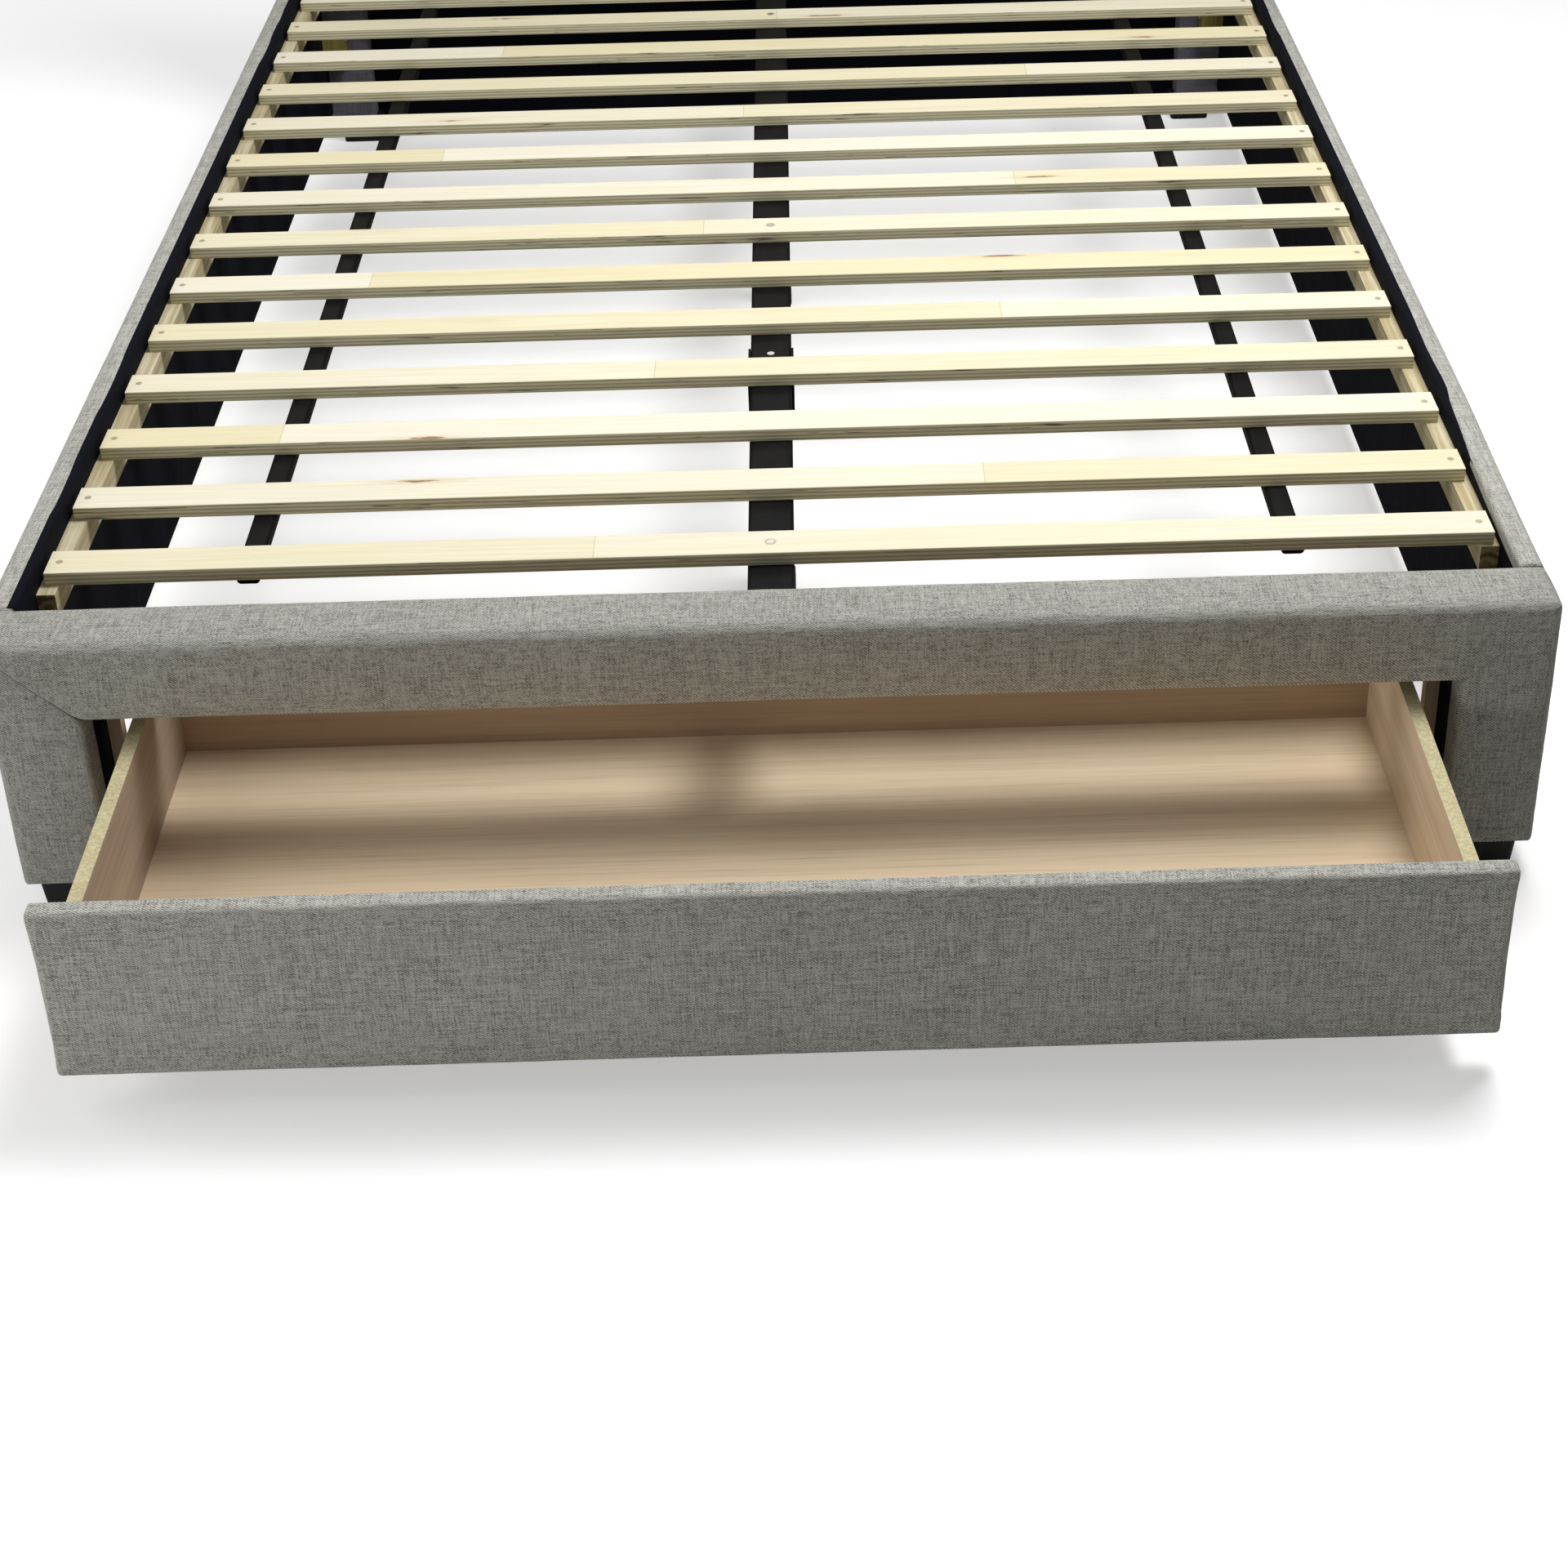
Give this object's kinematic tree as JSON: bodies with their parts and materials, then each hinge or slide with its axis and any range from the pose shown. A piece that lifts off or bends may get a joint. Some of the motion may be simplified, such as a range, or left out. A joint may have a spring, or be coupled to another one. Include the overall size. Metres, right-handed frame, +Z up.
{
  "type": "platform bed with storage drawer",
  "caption": "Upholstered platform bed with a wooden slat deck, steel centre rail and one wide drawer that rolls out of the footboard.",
  "frame": {"origin": "on the floor, in the middle of the rectangle that the bed covers with its drawer at rest, pulled out", "axes": "+X to the right seen from the foot, +Y from the footboard towards the headboard, +Z up"},
  "size_m": [1.62, 2.49, 1.1],
  "materials": {
    "grey_fabric": "plain-woven linen-look polyester over thin foam, matt",
    "post_fabric": "light grey cloth wrapped on board, matt",
    "black_nonwoven": "black spun-bonded dust cloth, matt",
    "slat_wood": "sanded poplar plywood, unfinished",
    "batten_wood": "planed softwood, unfinished",
    "frame_board": "raw engineered board",
    "oak_laminate": "oak-print melamine with raw sawn edges",
    "black_steel": "satin black powder coat",
    "zinc_fixings": "bright zinc plated",
    "caster_steel": "zinc plated pressed steel",
    "black_plastic": "moulded, fine texture",
    "wheel_plastic": "hard nylon, satin"
  },
  "bodies": {
    "bed_frame": {"centre_leg_caps": "black_plastic", "centre_leg_front": "black_steel", "centre_leg_rear": "black_steel", "centre_rail_front": "black_steel", "centre_rail_rear": "black_steel", "centre_rail_sleeve": "black_steel", "centre_screws": "zinc_fixings", "corner_blocks": "batten_wood", "corner_bolts": "zinc_fixings", "footboard_back_lining": "black_nonwoven", "footboard_core": "frame_board", "footboard_left_leg_cover": "grey_fabric", "footboard_right_leg_cover": "grey_fabric", "footboard_stiles": "oak_laminate", "footboard_top_cover": "grey_fabric", "front_feet": "black_plastic", "head_feet": "black_plastic", "headboard_back_panel": "black_nonwoven", "headboard_cover": "grey_fabric", "headboard_crossrails": "frame_board", "headboard_left_post": "post_fabric", "headboard_panel": "frame_board", "headboard_right_post": "post_fabric", "left_batten": "batten_wood", "left_rail_core": "frame_board", "left_rail_cover": "grey_fabric", "left_rail_lining": "black_nonwoven", "left_tie_bar": "black_steel", "right_batten": "batten_wood", "right_rail_core": "frame_board", "right_rail_cover": "grey_fabric", "right_rail_lining": "black_nonwoven", "right_tie_bar": "black_steel", "slat_01": "slat_wood", "slat_02": "slat_wood", "slat_03": "slat_wood", "slat_04": "slat_wood", "slat_05": "slat_wood", "slat_06": "slat_wood", "slat_07": "slat_wood", "slat_08": "slat_wood", "slat_09": "slat_wood", "slat_10": "slat_wood", "slat_11": "slat_wood", "slat_12": "slat_wood", "slat_13": "slat_wood", "slat_14": "slat_wood", "slat_15": "slat_wood", "slat_nails": "zinc_fixings"},
    "drawer": {"drawer_front_cover": "grey_fabric", "drawer_front_core": "frame_board", "drawer_left_side": "oak_laminate", "drawer_right_side": "oak_laminate", "drawer_back": "oak_laminate", "drawer_bottom": "oak_laminate", "drawer_casters": "caster_steel"},
    "front_left_wheel": {"front_left_wheel": "wheel_plastic"},
    "front_right_wheel": {"front_right_wheel": "wheel_plastic"},
    "rear_left_wheel": {"rear_left_wheel": "wheel_plastic"},
    "rear_right_wheel": {"rear_right_wheel": "wheel_plastic"}
  },
  "joints": [
    {"name": "drawer_slide", "type": "slide", "parent": "bed_frame", "child": "drawer", "axis": [0, -1, 0], "range_m": [-0.3, 0.08]},
    {"name": "front_left_wheel_spin", "type": "hinge", "parent": "drawer", "child": "front_left_wheel", "pos_m": [-0.612, -1.163, 0.025], "axis": [1, 0, 0], "continuous": true},
    {"name": "front_right_wheel_spin", "type": "hinge", "parent": "drawer", "child": "front_right_wheel", "pos_m": [0.612, -1.163, 0.025], "axis": [1, 0, 0], "continuous": true},
    {"name": "rear_left_wheel_spin", "type": "hinge", "parent": "drawer", "child": "rear_left_wheel", "pos_m": [-0.612, -0.825, 0.025], "axis": [1, 0, 0], "continuous": true},
    {"name": "rear_right_wheel_spin", "type": "hinge", "parent": "drawer", "child": "rear_right_wheel", "pos_m": [0.612, -0.825, 0.025], "axis": [1, 0, 0], "continuous": true}
  ],
  "couplings": [
    {"joint": "front_left_wheel_spin", "follows": "drawer_slide", "rad_per_m": 40},
    {"joint": "front_right_wheel_spin", "follows": "drawer_slide", "rad_per_m": 40},
    {"joint": "rear_left_wheel_spin", "follows": "drawer_slide", "rad_per_m": 40},
    {"joint": "rear_right_wheel_spin", "follows": "drawer_slide", "rad_per_m": 40}
  ]
}
